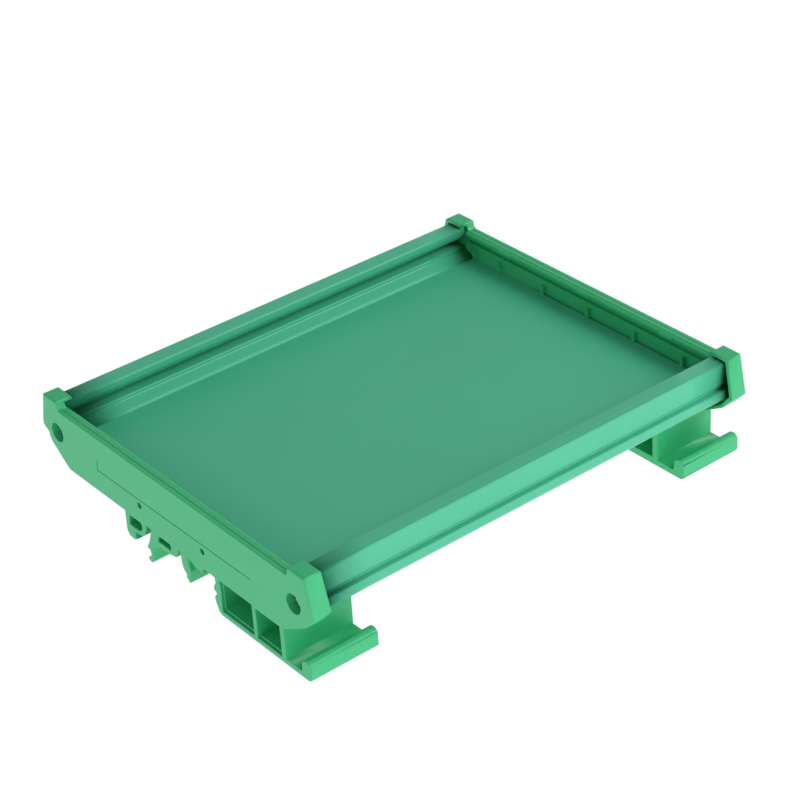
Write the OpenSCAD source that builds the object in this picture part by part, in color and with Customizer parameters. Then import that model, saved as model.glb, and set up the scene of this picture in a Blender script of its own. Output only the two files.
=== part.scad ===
// Open board carrier for rail mounting: a one-piece extruded tray closed by two moulded end plates.
// X runs along the tray, Y across it, Z up. The rail foot stands on Z = 0. Sizes are in millimetres.

/* [Tray] */
// Length over the two end plates
carrier_length = 141.2; // [80:0.1:400]
// Width of the board that the side slots take
board_width = 107; // [90:0.5:125]
// Height of each board slot
slot_height = 2.2; // [1.8:0.1:2.4]
// Depth of each board slot into its wall
slot_depth = 4; // [2:0.25:4.5]
// Wall left outside each board slot
wall_thickness = 1.2; // [1:0.1:1.5]
// Thickness of the tray floor
floor_thickness = 1.8; // [1.2:0.1:2.2]
// Diameter of the screw channels
channel_diameter = 2.4; // [2:0.1:2.6]

/* [End plates] */
// Thickness of the flat of each end plate
plate_thickness = 2.6; // [2:0.1:3]
// How far each corner cap reaches over the tray
cap_depth = 4.9; // [4:0.1:7]
// Thickness of the corner cap walls
cap_wall = 1; // [0.8:0.1:1.2]
// Diameter of the counterbores for the screw heads
counterbore_diameter = 5.4; // [5.2:0.1:6]
// Depth of the counterbores
counterbore_depth = 2.6; // [2:0.1:2.8]
// Diameter of the two small holes in each end plate
small_hole_diameter = 1.8; // [1:0.1:3]

/* [Rail foot] */
// Width of the rail over its flanges
rail_width = 35; // [34:0.25:36]
// Play of the rail between the finger and the latch foot
rail_play = 0.4; // [0.1:0.1:0.8]
// Length of the foot along the tray
foot_depth = 20; // [12:0.5:40]
// Thickness of the floor of the latch foot
foot_floor = 1.7; // [1.2:0.1:2]

/* [Screws] */
// Diameter of the screw heads
screw_head_diameter = 4.8; // [4:0.1:5]
// Height of the screw heads
screw_head_height = 0.8; // [0.6:0.1:1.6]
// Reach of each screw into the tray
screw_reach = 9; // [5:0.5:14]
// Width across the cross recess
recess_width = 2.6; // [1.5:0.1:3]

/* [Hidden] */
$fn = 48;
floor_top = 20.3;
floor_bottom = floor_top - floor_thickness;
slot_bottom = 23.3;
slot_top = slot_bottom + slot_height;
wall_top = 29.05;
slot_back = board_width / 2;
wall_face = slot_back + wall_thickness;
rib_face = slot_back - slot_depth;
lip_face = wall_face + 1.2;
groove_back = wall_face - 0.8;
groove_bottom = 21.5;
groove_top = 22.8;
lip_bottom = 19.5;
boss_bottom = 17.9;
ledge_top = slot_bottom;
ledge_edge = rib_face - 0.1;
slope_foot = ledge_edge - 3.5;

screw_y = wall_face - 4;
screw_z = 20.6;
channel_slit = 1;
screw_clearance = 3.2;

half_length = carrier_length / 2;
corner_thickness = plate_thickness + 0.8;
tray_length = carrier_length - 2 * corner_thickness;

cap_top = 30.3;
cap_inner = wall_face - 5.3;
cap_slant = 2.2;
cap_growth = 0.5;
plate_outer = wall_face + 3.3;
strip_top = 27.9;
strip_nose = 0.9;
nose_inset = 0.3;
nose_pad_spacing = 32;
nose_pad_length = 4.6;
strip_line = 1.3;
groove_floor = 24.3;
groove_roof = 26.4;
groove_wall = 1.6;
line_depth = 0.15;

rib_top = 23;
rib_reach = 1.2;
rib_thickness = 1;
rib_spacing = 18.2;
rib_shift = -1.5;
rib_outer = slope_foot - 0.3;

roof_top = 12.2;
web_top = boss_bottom;
finger_y = 17.6;
latch_y = finger_y - rail_width - rail_play;
front_web = latch_y - 27.7;
latch_tip = latch_y - 36.2;
rebate_depth = 0.8;
side_hole_y = 13.6;
side_hole_z = 16.1;

// Half of the tray section, Y and Z: floor, screw boss, outer groove and slotted wall.
tray_half = [
    [slope_foot, floor_bottom],
    [slope_foot + 0.6, boss_bottom],
    [lip_face - 1.4, boss_bottom],
    [lip_face, lip_bottom],
    [lip_face - 0.2, groove_bottom],
    [groove_back, groove_bottom],
    [groove_back, groove_top],
    [wall_face, groove_top + 0.3],
    [wall_face, wall_top - 0.3],
    [wall_face - 0.3, wall_top],
    [rib_face + 0.2, wall_top],
    [rib_face, wall_top - 0.2],
    [rib_face, slot_top + 1.4],
    [rib_face + 0.9, slot_top],
    [slot_back, slot_top],
    [slot_back, slot_bottom],
    [ledge_edge + 0.2, slot_bottom],
    [ledge_edge, slot_bottom - 0.2],
    [ledge_edge, slot_bottom - 0.6],
    [slope_foot + 0.5, floor_top + 0.5],
    [slope_foot + 0.3, floor_top]
];

// Corners of the end plate, Y and Z, from the cap's roof down to the lower edge.
front_corner = [
    [-cap_inner, cap_top],
    [cap_slant - plate_outer, cap_top],
    [-plate_outer, lip_bottom],
    [3.7 - plate_outer, 15.4],
    [11.7 - plate_outer, 10.8]
];
back_corner = [
    [cap_inner, cap_top],
    [plate_outer - cap_slant, cap_top],
    [plate_outer, 21.7],
    [plate_outer - 0.6, 20],
    [plate_outer - 2.7, 18.9],
    [plate_outer - 2.8, 17.6],
    [plate_outer - 3.8, 16.1],
    [plate_outer - 8.3, 12.7],
    [plate_outer - 11.1, 10.8]
];

// Extrudes a Y and Z outline along X, starting at the X position given.
module along_x(from, length)
{
    translate([from, 0, 0])
        rotate([90, 0, 90])
            linear_extrude(length)
                children();
}

// Extrudes an X and Z outline along Y, centred on the middle plane.
module along_y(length)
{
    rotate([90, 0, 0])
        linear_extrude(length, center = true)
            children();
}

// Repeats its children mirrored in Y.
module both_sides()
{
    children();
    mirror([0, 1, 0])
        children();
}

// The whole tray section from its half outline, less its open screw channels and hairline steps.
module tray_outline()
{
    back_half = [for (i = [len(tray_half) - 1:-1:0]) [-tray_half[i][0], tray_half[i][1]]];
    difference()
    {
        polygon(concat(tray_half, back_half));
        for (side = [-1, 1])
        {
            translate([side * screw_y, screw_z])
                circle(d = channel_diameter);
            translate([side * screw_y, (screw_z + boss_bottom - 1) / 2])
                square([channel_slit, screw_z - boss_bottom + 1], center = true);
            translate([side * (wall_face - 1.3), wall_top])
                square([0.3, 0.3], center = true);
            translate([side * groove_back, groove_top - 0.35])
                square([0.3, 0.2], center = true);
        }
    }
}

module tray_profile()
{
    color([0.29, 0.64, 0.52])
        along_x(-tray_length / 2, tray_length)
            tray_outline();
}

// Outline of the flat of an end plate, with its sloping corners.
module plate_outline()
{
    polygon(concat(
        front_corner,
        [[front_web + 0.4, 10.8], [front_web + 0.4, roof_top], [20.9, roof_top], [21.3, 10.8]],
        [for (i = [len(back_corner) - 1:-1:0]) back_corner[i]],
        [[cap_inner - 0.3, strip_top + 0.6], [cap_inner - 0.9, strip_top]],
        [[0.9 - cap_inner, strip_top], [0.3 - cap_inner, strip_top + 0.6]]
    ));
}

// Section of the top strip: rounded outer edge, flat, sloping nose and groove.
module strip_outline()
{
    polygon([
        [0.2, strip_top - 2],
        [0.2, strip_top],
        [plate_thickness - 0.3, strip_top],
        [plate_thickness + strip_nose - 0.2, strip_top - 0.4],
        [plate_thickness + strip_nose, strip_top - 0.7],
        [plate_thickness + strip_nose, groove_roof + 0.1],
        [groove_wall, groove_roof]
    ]);
}

// Wall round the front corner: roof, side, and the two slopes under the tray's lip.
module front_flange_outline()
{
    polygon(concat(front_corner, [
        [front_corner[4][0] + cap_wall * 0.5, front_corner[4][1] + cap_wall * 0.9],
        [front_corner[3][0] + cap_wall * 0.64, front_corner[3][1] + cap_wall * 0.79],
        [front_corner[2][0] + cap_wall * 1.08, front_corner[2][1] + cap_wall * 0.3],
        [front_corner[1][0] + cap_wall, cap_top - cap_wall],
        [-cap_inner, cap_top - cap_wall]
    ]));
}

// Wall round the back corner: roof and side only.
module back_flange_outline()
{
    polygon([
        back_corner[0],
        back_corner[1],
        back_corner[2],
        back_corner[3],
        [back_corner[3][0] - cap_wall, back_corner[3][1]],
        [back_corner[2][0] - cap_wall, back_corner[2][1]],
        [back_corner[1][0] - cap_wall, cap_top - cap_wall],
        [cap_inner, cap_top - cap_wall]
    ]);
}

// Corner caps: both flanges, cut a little deeper below than at the roof.
module corner_caps()
{
    intersection()
    {
        along_x(0, cap_depth + cap_growth)
        {
            front_flange_outline();
            back_flange_outline();
        }
        along_y(3 * plate_outer)
            polygon([
                [0, roof_top - 2],
                [0, cap_top],
                [cap_depth, cap_top],
                [cap_depth + cap_growth, lip_bottom],
                [cap_depth + cap_growth / 2, roof_top - 2]
            ]);
    }
}

// Thicker corner that the tray's end seats against.
module corner_pad()
{
    along_x(plate_thickness, corner_thickness - plate_thickness)
        polygon([
            [slope_foot, boss_bottom],
            [slope_foot, floor_top],
            [ledge_edge, ledge_top],
            [groove_back, ledge_top],
            [lip_face, lip_bottom],
            [lip_face - 1.4, boss_bottom]
        ]);
}

// Small pads on the end of the strip's nose.
module nose_pads()
{
    for (y = [-nose_pad_spacing, 0, nose_pad_spacing])
        translate([plate_thickness + strip_nose - 0.3, y - nose_pad_length / 2, groove_roof + 0.1])
            cube([0.6, nose_pad_length, strip_top - groove_roof - 0.8]);
}

// Small ribs on the inner face that stand on the tray floor.
module floor_ribs()
{
    middle_ribs = [for (i = [-2:2]) rib_shift + i * rib_spacing];
    for (y = concat(-rib_outer, middle_ribs, rib_outer))
        translate([plate_thickness - 0.2, y - rib_thickness / 2, floor_top])
            cube([rib_reach + 0.2, rib_thickness, rib_top - floor_top]);
}

// Finger that holds the far flange of the rail.
module finger_outline()
{
    difference()
    {
        polygon([
            [21.3, roof_top],
            [21.5, 4.9],
            [20.5, 3.5],
            [18.2, 3.3],
            [17, 4.1],
            [finger_y, 4.9],
            [finger_y, 6.1],
            [15.7, 6.1],
            [14.2, 6.5],
            [12.8, 7.6],
            [11.8, 10.1],
            [11.7, roof_top]
        ]);
        polygon([
            [13.9, 9.9],
            [14.4, 10.4],
            [19, 10.4],
            [19.5, 9.9],
            [19.6, 7.4],
            [15.3, 7.4],
            [13.9, 8.6]
        ]);
    }
}

// Middle hook with two teeth, inside the rail's channel.
module hook_outline()
{
    difference()
    {
        polygon([
            [9.8, roof_top],
            [9.9, 10],
            [11, 6.8],
            [12.6, 4],
            [11.2, 3.7],
            [11, 2.3],
            [12.7, 0.8],
            [11.9, 0],
            [10.9, 0],
            [9.8, 1.2],
            [10, 4.7],
            [9, 4.9],
            [8.6, 6.1],
            [6.9, 7.1],
            [2.9, 7.1],
            [-0.9, 7.7],
            [-1.5, 8.4],
            [-1.9, 10.2],
            [-2.5, 10.8],
            [-2.5, roof_top]
        ]);
        polygon([
            [1.1, 10],
            [1.5, 10.5],
            [5.9, 10.5],
            [6.5, 10],
            [6.5, 8.7],
            [1.1, 8.7]
        ]);
    }
}

// Pointed tooth and the swelling of the lower edge beside it.
module tooth_outline()
{
    polygon([
        [-3.3, roof_top],
        [-3.2, 10],
        [-3.4, 7.1],
        [-4, 5.7],
        [-5, 4.8],
        [-4.7, 4],
        [-6.1, 2.6],
        [-6.7, 3.4],
        [-7.2, 6.7],
        [-6.4, 8.6],
        [-6.2, 10.4],
        [-8, 10],
        [-9.6, 9.1],
        [-12.6, 8.9],
        [-13.2, 10.7],
        [-13.2, roof_top]
    ]);
}

// Latch foot: toothed web, floor, turned-up lip and upright front web.
module latch_outline()
{
    polygon([
        [latch_y, roof_top],
        [latch_y, 9],
        [latch_y + 0.9, 7.7],
        [latch_y + 0.9, 6.4],
        [latch_y, 6.2],
        [latch_y, 5.1],
        [latch_y + 0.5, 5.1],
        [latch_y + 1, 4.1],
        [latch_y + 0.6, 2.9],
        [latch_y - 0.3, 0.7],
        [latch_y - 1.3, 0],
        [latch_tip, 0],
        [latch_tip - 0.9, 0.4],
        [latch_tip - 1.3, 1.3],
        [latch_tip - 1.2, 4.3],
        [latch_tip - 0.7, 5.1],
        [latch_tip + 0.2, 5.5],
        [latch_tip + 1.4, 5.2],
        [latch_tip + 2.3, 4.4],
        [latch_tip + 2.4, foot_floor + 0.4],
        [latch_tip + 2.8, foot_floor],
        [front_web, foot_floor],
        [front_web, roof_top]
    ]);
}

// The two cells of the latch foot.
module latch_cells()
{
    polygon([
        [latch_y - 2.4, foot_floor + 0.4],
        [latch_y - 2.4, 10.6],
        [latch_y - 14.9, 10.6],
        [latch_y - 14.9, foot_floor + 0.4]
    ]);
    polygon([
        [latch_y - 16.4, foot_floor + 0.4],
        [latch_y - 16.4, 10.4],
        [front_web + 1.8, 10.4],
        [front_web + 1.8, foot_floor + 0.4]
    ]);
}

// Rail foot over its whole depth, with upright webs to the underside of the tray.
module rail_foot()
{
    difference()
    {
        along_x(0, foot_depth)
        {
            finger_outline();
            hook_outline();
            tooth_outline();
            difference()
            {
                latch_outline();
                latch_cells();
            }
            polygon([
                [21.3, roof_top],
                [21.3, 10.8],
                [latch_y - 1, 10.8],
                [latch_y - 1, roof_top]
            ]);
        }
        translate([-1, latch_y - 14.9, foot_floor - 0.2])
            cube([rebate_depth + 1, 12.9, 10.8 - foot_floor]);
        translate([-1, front_web + 1.8, foot_floor - 0.2])
            cube([rebate_depth + 1, latch_y - front_web - 18.2, 10.6 - foot_floor]);
    }
    for (y = [front_web, latch_y - 16.4, latch_y - 2, -2.5, 19.7])
        translate([0, y, roof_top - 0.5])
            cube([foot_depth, 1.6, web_top - roof_top + 0.5]);
}

// Holes of one end plate: counterbored screw holes and two small side holes.
module plate_holes()
{
    both_sides()
    {
        translate([-1, screw_y, screw_z])
            rotate([0, 90, 0])
                cylinder(d = counterbore_diameter, h = counterbore_depth + 1);
        translate([-1, screw_y, screw_z])
            rotate([0, 90, 0])
                cylinder(d = screw_clearance, h = corner_thickness + 2);
        translate([-1, side_hole_y, side_hole_z])
            rotate([0, 90, 0])
                cylinder(d = small_hole_diameter, h = plate_thickness + 2);
    }
}

// One end plate with its outer face on X = 0 and a fine moulded line across that face.
module end_plate()
{
    difference()
    {
        union()
        {
            along_x(0, plate_thickness)
                plate_outline();
            along_y(2 * cap_inner - 2 * nose_inset)
                strip_outline();
            both_sides()
                corner_pad();
            corner_caps();
            nose_pads();
            floor_ribs();
            rail_foot();
        }
        translate([strip_line, 0, strip_top])
            rotate([0, 45, 0])
                cube([0.28, 2 * cap_inner - 2, 0.28], center = true);
        translate([groove_wall, nose_inset - cap_inner, groove_floor])
            cube([plate_thickness, 2 * (cap_inner - nose_inset), groove_roof - groove_floor]);
        plate_holes();
        along_x(-1, 1 + line_depth)
            polygon([
                [31.6, 21],
                [31.9, 21],
                [32.6, 17.6],
                [-33.6, 18.3],
                [-33.6, 18.6],
                [32.2, 17.9]
            ]);
    }
}

module left_end_plate()
{
    color([0.38, 0.74, 0.56])
        translate([-half_length, 0, 0])
            end_plate();
}

module right_end_plate()
{
    color([0.38, 0.74, 0.56])
        mirror([1, 0, 0])
            translate([-half_length, 0, 0])
                end_plate();
}

// One self-tapping screw with its axis on X, head seated in the counterbore.
module screw()
{
    difference()
    {
        translate([counterbore_depth - screw_head_height, 0, 0])
            rotate([0, 90, 0])
                cylinder(d = screw_head_diameter, h = screw_head_height);
        for (turn = [0, 90])
            rotate([turn, 0, 0])
                translate([counterbore_depth - screw_head_height, 0, 0])
                    cube([1.2, recess_width, 0.6], center = true);
    }
    translate([counterbore_depth, 0, 0])
        rotate([0, 90, 0])
            cylinder(d = channel_diameter, h = screw_reach + corner_thickness - counterbore_depth);
}

module end_plate_screws()
{
    color([0.72, 0.73, 0.74])
        for (turn = [0, 180])
            rotate([0, 0, turn])
                both_sides()
                    translate([-half_length, screw_y, screw_z])
                        screw();
}

tray_profile();
left_end_plate();
right_end_plate();
end_plate_screws();
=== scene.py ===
import math

import bmesh
import bpy
import numpy as np
from mathutils import Matrix, Vector
from mathutils.geometry import intersect_point_line


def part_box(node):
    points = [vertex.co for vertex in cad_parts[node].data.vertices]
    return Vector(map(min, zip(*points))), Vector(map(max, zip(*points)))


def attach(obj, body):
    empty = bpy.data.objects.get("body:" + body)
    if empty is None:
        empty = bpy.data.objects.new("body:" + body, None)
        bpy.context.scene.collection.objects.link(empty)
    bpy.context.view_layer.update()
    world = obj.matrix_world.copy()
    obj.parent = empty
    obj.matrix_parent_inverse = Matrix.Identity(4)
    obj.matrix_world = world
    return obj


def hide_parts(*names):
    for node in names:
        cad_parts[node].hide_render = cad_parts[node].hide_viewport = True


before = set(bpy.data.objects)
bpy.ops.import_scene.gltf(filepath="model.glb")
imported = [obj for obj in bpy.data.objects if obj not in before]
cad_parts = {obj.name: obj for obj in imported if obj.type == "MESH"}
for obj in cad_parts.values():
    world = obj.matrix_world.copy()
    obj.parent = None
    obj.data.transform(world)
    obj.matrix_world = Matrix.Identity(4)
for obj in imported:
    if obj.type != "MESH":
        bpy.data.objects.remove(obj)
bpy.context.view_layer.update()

# Camera
# A look down on the near left corner through a long lens, with a slight roll of the camera
# about its own line of sight, as from a tripod that doesn't stand quite level.
MM = 0.001
scene = bpy.context.scene
azimuth, elevation, roll = (math.radians(a) for a in (232.82, 31.75, -3.84))
aim = Vector((-5.7, -10.65, 29.45)) * MM
camera_distance = 590 * MM
towards_camera = Vector((
    math.cos(elevation) * math.cos(azimuth),
    math.cos(elevation) * math.sin(azimuth),
    math.sin(elevation),
))
level_right = (-towards_camera).cross(Vector((0, 0, 1))).normalized()
level_up = level_right.cross(-towards_camera)
camera_right = math.cos(roll) * level_right + math.sin(roll) * level_up
camera_up = -math.sin(roll) * level_right + math.cos(roll) * level_up
camera_data = bpy.data.cameras.new("camera")
camera_data.sensor_width = 36.0
camera_data.lens = 105.1
camera_data.clip_start = 10 * MM
camera = bpy.data.objects.new("camera", camera_data)
scene.collection.objects.link(camera)
camera.matrix_world = Matrix((
    (camera_right.x, camera_up.x, towards_camera.x, 0),
    (camera_right.y, camera_up.y, towards_camera.y, 0),
    (camera_right.z, camera_up.z, towards_camera.z, 0),
    (0, 0, 0, 1),
))
camera.location = aim + camera_distance * towards_camera
scene.camera = camera


# Floor and light
# A white light table under the object, white walls around it, and one square soft box at the
# front right, so that the upright faces are a little brighter than the flat ones.
def linear(code):
    """Turns an sRGB hex colour to linear red, green, blue and a full alpha: the low part of the
    scale is divided by 12.92, the rest is raised to the power 2.4."""
    parts = [int(code[i:i + 2], 16) / 255 for i in (1, 3, 5)]
    rgb = [p / 12.92 if p <= 0.04045 else ((p + 0.055) / 1.055) ** 2.4 for p in parts]
    return (*rgb, 1.0)


def node(tree, kind, inputs=None, **properties):
    """Adds one node to a tree and sets its properties. Each input, by name or number, is linked
    to the output socket it is given, or else takes the value it is given."""
    made = tree.nodes.new(kind)
    for key, value in properties.items():
        setattr(made, key, value)
    for key, given in (inputs or {}).items():
        if isinstance(given, bpy.types.NodeSocket):
            tree.links.new(given, made.inputs[key])
        else:
            made.inputs[key].default_value = given
    return made


def material(name):
    """Returns an empty node material and its tree."""
    made = bpy.data.materials.new(name)
    made.use_nodes = True
    made.node_tree.nodes.clear()
    return made, made.node_tree


def grid_mesh(name, rows, closed=False):
    """A grid of points given as an array of shape (m, n, 3): each square of four neighbours
    becomes one face. In a closed grid, each row's last point is also beside its first."""
    index = np.arange(rows.shape[0] * rows.shape[1]).reshape(rows.shape[:2])
    if closed:
        index = np.column_stack([index, index[:, 0]])
    faces = np.stack([index[:-1, :-1], index[:-1, 1:], index[1:, 1:], index[1:, :-1]], -1)
    mesh = bpy.data.meshes.new(name)
    mesh.from_pydata(rows.reshape(-1, 3).tolist(), [], faces.reshape(-1, 4).tolist())
    mesh.update()
    return mesh


floor_side = 3000 * MM
floor_steps = np.linspace(-floor_side / 2, floor_side / 2, 5)
floor_x, floor_y = np.meshgrid(floor_steps, floor_steps)
floor = bpy.data.objects.new(
    "studio_floor", grid_mesh("studio_floor", np.stack([floor_x, floor_y, 0 * floor_x], -1)))
scene.collection.objects.link(floor)

# The light table: plain white to the camera and in reflections. To all else it is a soft glow
# upwards, on a surface matt enough to take the object's shadow.
paper, tree = material("white_light_table")
ray = node(tree, "ShaderNodeLightPath")
seen_or_mirrored = node(tree, "ShaderNodeMath", {
    0: ray.outputs["Is Camera Ray"], 1: ray.outputs["Is Glossy Ray"],
}, operation="MAXIMUM")
meets_white = node(tree, "ShaderNodeMath", {
    0: seen_or_mirrored.outputs[0], 1: ray.outputs["Is Transmission Ray"],
}, operation="MAXIMUM")
matt = node(tree, "ShaderNodeBsdfDiffuse", {"Color": linear("#d8d8d8")})
glow = node(tree, "ShaderNodeEmission", {"Color": linear("#ffffff"), "Strength": 0.9})
lit = node(tree, "ShaderNodeAddShader", {0: matt.outputs[0], 1: glow.outputs[0]})
white = node(tree, "ShaderNodeEmission", {"Color": linear("#ffffff"), "Strength": 1.0})
table = node(tree, "ShaderNodeMixShader", {
    0: meets_white.outputs[0], 1: lit.outputs[0], 2: white.outputs[0],
})
node(tree, "ShaderNodeOutputMaterial", {"Surface": table.outputs[0]})
floor.data.materials.append(paper)

# The room: white walls, brighter in front of the object than behind it, that fall off to a
# dimmer ceiling. The camera itself sees plain white.
world = bpy.data.worlds.new("studio")
scene.world = world
world.use_nodes = True
tree = world.node_tree
tree.nodes.clear()
ray = node(tree, "ShaderNodeLightPath")
direction = node(tree, "ShaderNodeTexCoord")
axes = node(tree, "ShaderNodeSeparateXYZ", {0: direction.outputs["Generated"]})
by_height = node(tree, "ShaderNodeMapRange", {
    "Value": axes.outputs["Z"], "From Min": 0.3, "From Max": 0.85, "To Min": 0.74, "To Max": 0.3,
})
by_side = node(tree, "ShaderNodeMapRange", {
    "Value": axes.outputs["Y"], "From Min": -1.0, "From Max": 1.0, "To Min": 1.14, "To Max": 0.88,
})
strength = node(tree, "ShaderNodeMath", {
    0: by_height.outputs[0], 1: by_side.outputs[0],
}, operation="MULTIPLY")
walls = node(tree, "ShaderNodeBackground", {
    "Color": linear("#ffffff"), "Strength": strength.outputs[0],
})
backdrop = node(tree, "ShaderNodeBackground", {"Color": linear("#ffffff"), "Strength": 1.0})
surround = node(tree, "ShaderNodeMixShader", {
    0: ray.outputs["Is Camera Ray"], 1: walls.outputs[0], 2: backdrop.outputs[0],
})
node(tree, "ShaderNodeOutputWorld", {"Surface": surround.outputs[0]})

lamp = bpy.data.lights.new("soft_box_right", "AREA")
lamp.shape = "SQUARE"
lamp.size = 600 * MM
lamp.energy = 7.2
soft_box = bpy.data.objects.new("soft_box_right", lamp)
scene.collection.objects.link(soft_box)
soft_box.location = Vector((640, -680, 780)) * MM
soft_box.rotation_euler = (aim - soft_box.location).to_track_quat("-Z", "Y").to_euler()


# Tray
# One length of extruded PVC, coloured in the mass: a floor between two slotted walls, with a
# screw channel and a lip under each. The die rounds every edge a little.
most_of_side = 0.45
points_per_corner = 7
station_count = 9


def rounded_section(corners, radii):
    """Outline with rounded corners: each corner P gives way to the curve
    (1-s)^2 A + 2s(1-s) P + s^2 B. A and B lie on the two sides of the corner, as far from it as
    its radius, or most_of_side of the side where that is less."""
    before = np.roll(corners, 1, axis=0) - corners
    after = np.roll(corners, -1, axis=0) - corners
    long_before = np.hypot(before[:, 0], before[:, 1])
    long_after = np.hypot(after[:, 0], after[:, 1])
    reach_before = np.minimum(radii, most_of_side * long_before)
    reach_after = np.minimum(radii, most_of_side * long_after)
    start = corners + before * (reach_before / long_before)[:, None]
    end = corners + after * (reach_after / long_after)[:, None]
    s = np.linspace(0, 1, points_per_corner)[:, None, None]
    curve = (1 - s) ** 2 * start + 2 * s * (1 - s) * corners + s ** 2 * end
    return curve.transpose(1, 0, 2).reshape(-1, 2)


def extruded(name, section, stations):
    """A closed outline in Y and Z carried along the X stations: point (i, j) is station i and
    outline point j. Each end is closed by one flat face."""
    rows = np.empty((len(stations), len(section), 3))
    rows[..., 0] = stations[:, None]
    rows[..., 1:] = section
    mesh = grid_mesh(name, rows, closed=True)
    work = bmesh.new()
    work.from_mesh(mesh)
    for face in work.faces:
        face.smooth = True
    points = list(work.verts)
    work.faces.new(points[:len(section)])
    work.faces.new(points[:-len(section) - 1:-1])
    bmesh.ops.recalc_face_normals(work, faces=work.faces)
    work.to_mesh(mesh)
    work.free()
    return mesh


# The section's main lines, in millimetres, from its outer face inwards and from its top down.
tray_low, tray_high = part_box("tray_profile")
lip_face = tray_high.y / MM
wall_face = lip_face - 1.2
slot_back = wall_face - 1.2
slot_mouth = slot_back - 4
ledge_edge = slot_mouth - 0.1
slope_foot = ledge_edge - 3.5
wall_top = tray_high.z / MM
bead_top = wall_top + 0.11
slot_top = wall_top - 3.55
slot_bottom = slot_top - 2.2
floor_top = slot_bottom - 3
floor_bottom = floor_top - 1.8
underside = tray_low.z / MM
channel_y = wall_face - 4
channel_z = floor_top + 0.3
channel_radius = 1.2
half_slit = 0.5
groove_top = slot_bottom - 0.5
groove_bottom = groove_top - 1.1

# Half of the section: Y, Z and edge radius of each corner, from the floor's underside outwards
# over the lip, the outer wall, the board slot and the ledge, and back to the floor.
floor_edge = [
    (slope_foot, floor_bottom, 0.3),
    (slope_foot + 0.6, underside, 0.3),
]
screw_channel = [
    (channel_y - 1.1, underside, 0.25),
    (channel_y - half_slit, underside, 0.1),
    (channel_y - half_slit, channel_z - 0.95, 0.1),
    (channel_y - 0.8, channel_z - 0.55, 0.3),
    (channel_y - channel_radius, channel_z, 0.9),
    (channel_y - 0.7, channel_z + 1, 0.9),
    (channel_y + 0.7, channel_z + 1, 0.9),
    (channel_y + channel_radius, channel_z, 0.9),
    (channel_y + 0.8, channel_z - 0.55, 0.3),
    (channel_y + half_slit, channel_z - 0.95, 0.1),
    (channel_y + half_slit, underside, 0.1),
]
lip = [
    (lip_face - 1.4, underside, 0.3),
    (lip_face, underside + 1.6, 0.5),
    (lip_face - 0.15, groove_bottom, 0.35),
]
stepped_groove = [
    (wall_face - 0.4, groove_bottom + 0.05, 0.06),
    (wall_face - 0.4, groove_bottom + 0.3, 0.06),
    (wall_face - 0.18, groove_bottom + 0.35, 0.06),
    (wall_face - 0.18, groove_top - 0.2, 0.06),
    (wall_face - 0.32, groove_top - 0.15, 0.04),
    (wall_face - 0.32, groove_top, 0.04),
]
wall_with_bead = [
    (wall_face, groove_top + 0.1, 0.12),
    (wall_face, wall_top, 0.7),
    (wall_face - 1.25, wall_top, 0.2),
    (wall_face - 1.65, bead_top, 0.2),
    (wall_face - 2, bead_top, 0.2),
    (wall_face - 2.5, wall_top, 0.2),
    (slot_mouth, wall_top, 0.95),
]
board_slot = [
    (slot_mouth, slot_top + 1.4, 0.5),
    (slot_mouth + 0.9, slot_top, 0.3),
    (slot_back, slot_top, 0.2),
    (slot_back, slot_bottom, 0.2),
]
ledge = [
    (ledge_edge, slot_bottom, 0.6),
    (ledge_edge, slot_bottom - 1, 0.4),
    (slope_foot + 0.6, floor_top + 0.55, 0.5),
    (slope_foot + 0.3, floor_top, 0.15),
]
half_section = np.array(
    floor_edge + screw_channel + lip + stepped_groove + wall_with_bead + board_slot + ledge)
other_half = half_section[::-1] * (-1, 1, 1)
whole = np.concatenate([half_section, other_half])
tray = bpy.data.objects.new("extruded_tray", extruded(
    "extruded_tray",
    rounded_section(whole[:, :2], whole[:, 2]) * MM,
    np.linspace(tray_low.x, tray_high.x, station_count),
))
scene.collection.objects.link(tray)
even_faces = tray.modifiers.new("even_faces", "WEIGHTED_NORMAL")
even_faces.weight = 100

# Extruded PVC: satin, with the die's lines as faint streaks along X, and a slow cloudy change of
# shade, about 45 mm across, where the melt cooled unevenly. The real lines are about 0.3 mm
# apart and are drawn 1.3 mm apart so that they show.
die_line_spacing = 4 / 3 * MM
die_line_length = 125 * die_line_spacing
shades_per_metre = 22.0
pvc, tree = material("extruded_pvc")
coordinates = node(tree, "ShaderNodeTexCoord")
stretched = node(tree, "ShaderNodeMapping", {
    "Vector": coordinates.outputs["Object"],
    "Scale": (1 / die_line_length, 1 / die_line_spacing, 1 / die_line_spacing),
})
die_lines = node(tree, "ShaderNodeTexNoise", {
    "Vector": stretched.outputs[0], "Scale": 1.0, "Detail": 3.0, "Roughness": 0.6,
})
cloud = node(tree, "ShaderNodeTexNoise", {
    "Vector": coordinates.outputs["Object"], "Scale": shades_per_metre, "Detail": 2.0,
})
shade = node(tree, "ShaderNodeMix", {
    0: cloud.outputs["Fac"], 6: linear("#3fb18a"), 7: linear("#48ba94"),
}, data_type="RGBA")
streak = node(tree, "ShaderNodeMapRange", {
    "Value": die_lines.outputs["Fac"],
    "From Min": 0.3, "From Max": 0.7, "To Min": 0.985, "To Max": 1.015,
})
streaked = node(tree, "ShaderNodeMix", {
    0: 1.0, 6: shade.outputs[2], 7: streak.outputs[0],
}, data_type="RGBA", blend_type="MULTIPLY")
dullness = node(tree, "ShaderNodeMapRange", {
    "Value": die_lines.outputs["Fac"],
    "From Min": 0.3, "From Max": 0.7, "To Min": 0.42, "To Max": 0.52,
})
relief = node(tree, "ShaderNodeBump", {
    "Height": die_lines.outputs["Fac"], "Strength": 0.05, "Distance": 0.05 * MM,
})
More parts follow.
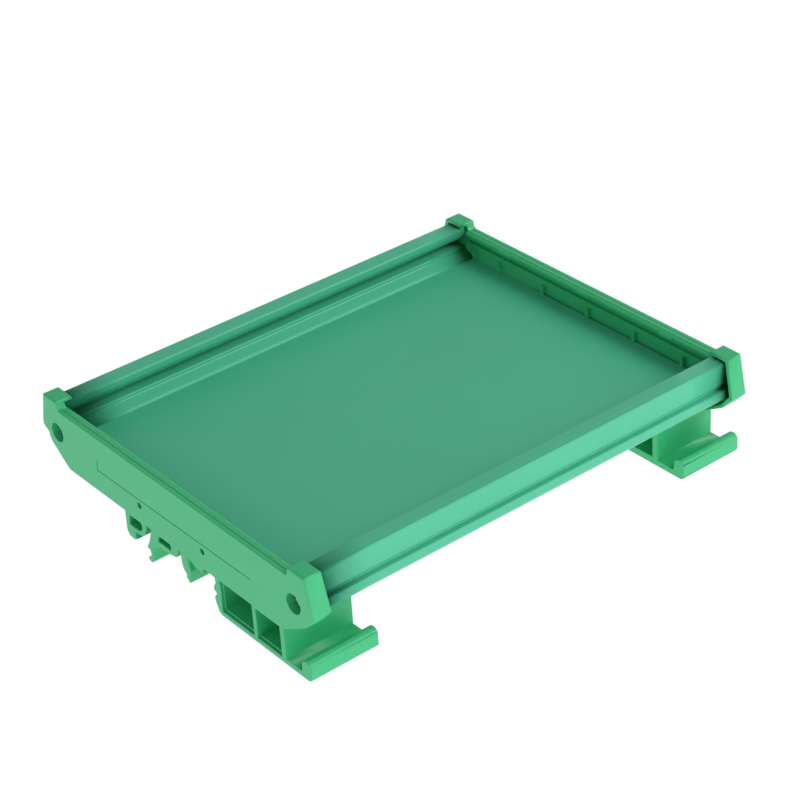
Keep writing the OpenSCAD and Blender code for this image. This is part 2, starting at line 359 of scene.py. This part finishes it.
skin = node(tree, "ShaderNodeBsdfPrincipled", {
    "Base Color": streaked.outputs[2], "Roughness": dullness.outputs[0],
    "Normal": relief.outputs[0], "IOR": 1.53,
})
node(tree, "ShaderNodeOutputMaterial", {"Surface": skin.outputs[0]})
tray.data.materials.append(pvc)
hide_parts("tray_profile")
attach(tray, "root")

# End plates
# Two mouldings in green polyamide, mirror images of each other. Plate, corner caps and rail
# foot come out of one mould, whose fine spark-eroded skin gives a soft, even surface.
sharp_angle = math.radians(28)
corner_radius = 1.1 * MM
roof_radius = 0.6 * MM
rim_radius = 0.25 * MM
foot_radius = 0.15 * MM
least_radius = 0.06 * MM
share_of_room = 0.3
cap_reach = 54 * MM
cap_edge_length = 8 * MM
foot_height = 17 * MM
foot_edge_length = 1.5 * MM
tolerance = 0.01 * MM
plate_low, plate_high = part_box("left_end_plate")
half_length = -plate_low.x
roof_height = plate_high.z


def room_beside(edge):
    """What an edge's two faces leave for its rounding: the smallest distance from five points of
    the edge to their other sharp edges, and the length of each edge that turns off at its ends.
    An edge that runs on in nearly the same direction, with a cosine of 0.8 or more, takes none."""
    start, end = (v.co for v in edge.verts)
    points = [start.lerp(end, t) for t in (0.02, 0.25, 0.5, 0.75, 0.98)]
    room = math.inf
    for other in {e for face in edge.link_faces for e in face.edges} - {edge}:
        first, last = (v.co for v in other.verts)
        if set(other.verts) & set(edge.verts):
            if abs((end - start).normalized().dot((last - first).normalized())) < 0.8:
                room = min(room, other.calc_length())
        elif other.calc_face_angle(0) >= sharp_angle:
            for point in points:
                share = intersect_point_line(point, first, last)[1]
                nearest = first.lerp(last, min(max(share, 0), 1))
                room = min(room, (point - nearest).length)
    return room


def wanted_radius(edge):
    """Wide on the upright outer corners of the caps, less round their roofs, small round the
    plate's outer face and on the long outward edges of the rail foot, and none on the rest."""
    ends = [v.co for v in edge.verts]
    outer = all(half_length - abs(p.x) < tolerance for p in ends)
    on_cap = all(abs(p.y) > cap_reach for p in ends)
    if outer and on_cap and abs(ends[0].z - ends[1].z) > cap_edge_length:
        return corner_radius
    if all(p.z > roof_height - tolerance for p in ends):
        return roof_radius
    if outer:
        return rim_radius
    on_foot = all(p.z < foot_height for p in ends)
    if on_foot and edge.is_convex and edge.calc_length() > foot_edge_length:
        return foot_radius
    return 0.0


def rounded_moulding(cad_name, name):
    """A copy of a CAD piece with its triangles merged to flat faces and its sharp edges rounded to
    the radius wanted, or to less where a neighbouring edge leaves less room. Finer edges, those of
    the moulded lines, stay sharp."""
    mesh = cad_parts[cad_name].data.copy()
    mesh.name = name
    mesh.materials.clear()
    work = bmesh.new()
    work.from_mesh(mesh)
    bmesh.ops.remove_doubles(work, verts=work.verts, dist=1e-6)
    bmesh.ops.dissolve_limit(
        work, angle_limit=math.radians(1), verts=work.verts, edges=work.edges)
    weight = work.edges.layers.float.new("bevel_weight_edge")
    for edge in work.edges:
        if edge.calc_face_angle(0) > sharp_angle:
            radius = min(wanted_radius(edge), share_of_room * room_beside(edge))
            edge.smooth = radius > least_radius
            edge[weight] = radius / corner_radius if edge.smooth else 0.0
    for face in work.faces:
        face.smooth = True
    work.to_mesh(mesh)
    work.free()
    piece = bpy.data.objects.new(name, mesh)
    scene.collection.objects.link(piece)
    bevel = piece.modifiers.new("edge_radius", "BEVEL")
    bevel.width = corner_radius
    bevel.segments = 3
    bevel.limit_method = "WEIGHT"
    bevel.use_clamp_overlap = False
    even = piece.modifiers.new("even_faces", "WEIGHTED_NORMAL")
    even.weight = 100
    even.keep_sharp = True
    return piece


plates = {
    "left_end_plate": rounded_moulding("left_end_plate", "left_moulded_plate"),
    "right_end_plate": rounded_moulding("right_end_plate", "right_moulded_plate"),
}

# Moulded polyamide: an eroded grain that takes the shine off. The real grain is about 0.2 mm
# and is drawn at 0.5 mm so that it shows. The melt gives a slow change of shade, about 33 mm
# across.
grain_size = 0.5 * MM
shades_per_metre = 30.0
polyamide, tree = material("moulded_polyamide")
coordinates = node(tree, "ShaderNodeTexCoord")
grain = node(tree, "ShaderNodeTexNoise", {
    "Vector": coordinates.outputs["Object"], "Scale": 1 / grain_size, "Detail": 2.0,
})
cloud = node(tree, "ShaderNodeTexNoise", {
    "Vector": coordinates.outputs["Object"], "Scale": shades_per_metre, "Detail": 2.0,
})
shade = node(tree, "ShaderNodeMix", {
    0: cloud.outputs["Fac"], 6: linear("#2cb072"), 7: linear("#34b97a"),
}, data_type="RGBA")
dullness = node(tree, "ShaderNodeMapRange", {
    "Value": grain.outputs["Fac"],
    "From Min": 0.3, "From Max": 0.7, "To Min": 0.42, "To Max": 0.54,
})
relief = node(tree, "ShaderNodeBump", {
    "Height": grain.outputs["Fac"], "Strength": 0.1, "Distance": 0.04 * MM,
})
skin = node(tree, "ShaderNodeBsdfPrincipled", {
    "Base Color": shade.outputs[2], "Roughness": dullness.outputs[0],
    "Normal": relief.outputs[0], "IOR": 1.53,
})
node(tree, "ShaderNodeOutputMaterial", {"Surface": skin.outputs[0]})
for cad_name, plate in plates.items():
    plate.data.materials.append(polyamide)
    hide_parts(cad_name)
    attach(plate, "root")

# Screws
# Four zinc-plated self-tapping screws with pan heads and cross recesses, turned home in the
# counterbores. Their threads cut into the channels of the tray.
head_radius = 2.4 * MM
head_height = 0.8 * MM
head_seat = 2.6 * MM
dome_drop = 0.1 * MM
rim_drop = 0.3 * MM
rim_start = 0.82
rim_overrun = 1.04
rim_crease = 0.999
cross_reach = 1.3 * MM
cross_width = 0.32 * MM
cross_depth = 0.5 * MM
cross_flat = 0.6
cross_end = 0.3 * MM
core_radius = 1.2 * MM
shank_length = 9.8 * MM
shank_start = 0.02
thread_depth = 0.25 * MM
thread_pitch = 1.1 * MM
tooth_reach = 0.28
point_length = 1.6 * MM
point_share = 0.35
point_bulge = 0.6
screw_y = channel_y * MM
screw_z = channel_z * MM
points_around = 96
rings_on_head = 40
rings_on_shank = 150


def screw_surface():
    """Head and threaded shank as one closed grid of rings round the axis, which is X from the head
    inwards. Over the head, the radius grows from 0 to the head's, and the depth is a low dome
    that drops at the rim, plus the cross recess: full near two crossed bars, and fading with the
    distance from them and past their ends. Along the shank, the radius is the core's plus the
    thread's height where the turn and the travel over the pitch agree, falling off to both sides
    as a tooth does, and it shrinks towards the point."""
    turn = np.linspace(0, 2 * np.pi, points_around + 1)[:-1]
    on_each = 0 * turn
    spread = np.linspace(0, 1, rings_on_head)[:, None]
    head = head_radius * np.minimum(1, spread * rim_overrun) + on_each
    rim = np.clip((spread - rim_start) / (1 - rim_start), 0, 1)
    dome = dome_drop * spread ** 2 + rim_drop * rim ** 2
    bar_a = np.abs(head * np.sin(turn))
    bar_b = np.abs(head * np.cos(turn))
    from_bar = np.minimum(
        np.where(bar_b < cross_reach, bar_a, np.inf),
        np.where(bar_a < cross_reach, bar_b, np.inf),
    )
    across = np.clip(1 + cross_flat - from_bar / cross_width, 0, 1)
    along = np.clip((cross_reach - head) / cross_end + 0.5, 0, 1)
    head_depth = dome + cross_depth * across * along
    underside = np.array([head_radius, rim_crease * head_radius, core_radius])[:, None] + on_each
    travel = np.linspace(shank_start, 1, rings_on_shank)[:, None] * shank_length
    phase = (travel / thread_pitch - turn / (2 * np.pi)) % 1.0
    tooth = np.clip(1 - np.abs(phase - 0.5) / tooth_reach, 0, 1)
    to_point = np.clip((shank_length - travel) / point_length, 0, 1)
    taper = point_share + (1 - point_share) * to_point ** point_bulge
    shank = (core_radius + thread_depth * tooth) * taper
    radius = np.concatenate([head, underside, shank, [on_each]])
    depth = np.concatenate([
        head_depth,
        np.full_like(underside, head_height),
        head_height + travel + on_each,
        [head_height + shank_length + on_each],
    ])
    return np.stack([depth, radius * np.cos(turn), radius * np.sin(turn)], -1)


def turned(name, rows):
    """A closed grid of rings, with the first and last ring drawn together to one point each."""
    mesh = grid_mesh(name, rows, closed=True)
    work = bmesh.new()
    work.from_mesh(mesh)
    bmesh.ops.remove_doubles(work, verts=work.verts, dist=1e-7)
    bmesh.ops.recalc_face_normals(work, faces=work.faces)
    for face in work.faces:
        face.smooth = True
    work.to_mesh(mesh)
    work.free()
    return mesh


# Zinc-plated steel: a thin bright plate under a cloudy passivated film, its clouds about 1.1 mm
# across, which breaks up the reflections.
clouds_per_metre = 900.0
steel, tree = material("zinc_plated_steel")
coordinates = node(tree, "ShaderNodeTexCoord")
film = node(tree, "ShaderNodeTexNoise", {
    "Vector": coordinates.outputs["Object"], "Scale": clouds_per_metre, "Detail": 3.0,
})
shade = node(tree, "ShaderNodeMix", {
    0: film.outputs["Fac"], 6: linear("#b9bcc0"), 7: linear("#d4d5d2"),
}, data_type="RGBA")
dullness = node(tree, "ShaderNodeMapRange", {
    "Value": film.outputs["Fac"],
    "From Min": 0.3, "From Max": 0.7, "To Min": 0.22, "To Max": 0.36,
})
skin = node(tree, "ShaderNodeBsdfPrincipled", {
    "Base Color": shade.outputs[2], "Roughness": dullness.outputs[0], "Metallic": 1.0,
})
node(tree, "ShaderNodeOutputMaterial", {"Surface": skin.outputs[0]})

# The right plate's screws are the left plate's, turned half round the upright axis.
surface = screw_surface()
surface[..., 0] += head_seat - head_height - half_length
for side, end in (("left", 1), ("right", -1)):
    for place, y in (("front", -screw_y), ("back", screw_y)):
        name = f"{side}_{place}_screw"
        rows = surface * (end, end, 1) + (0, y, screw_z)
        screw = bpy.data.objects.new(name, turned(name, rows))
        scene.collection.objects.link(screw)
        screw.data.materials.append(steel)
        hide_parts("end_plate_screws")
        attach(screw, "root")

# Colour management stays plain.
scene.view_settings.view_transform = "Standard"
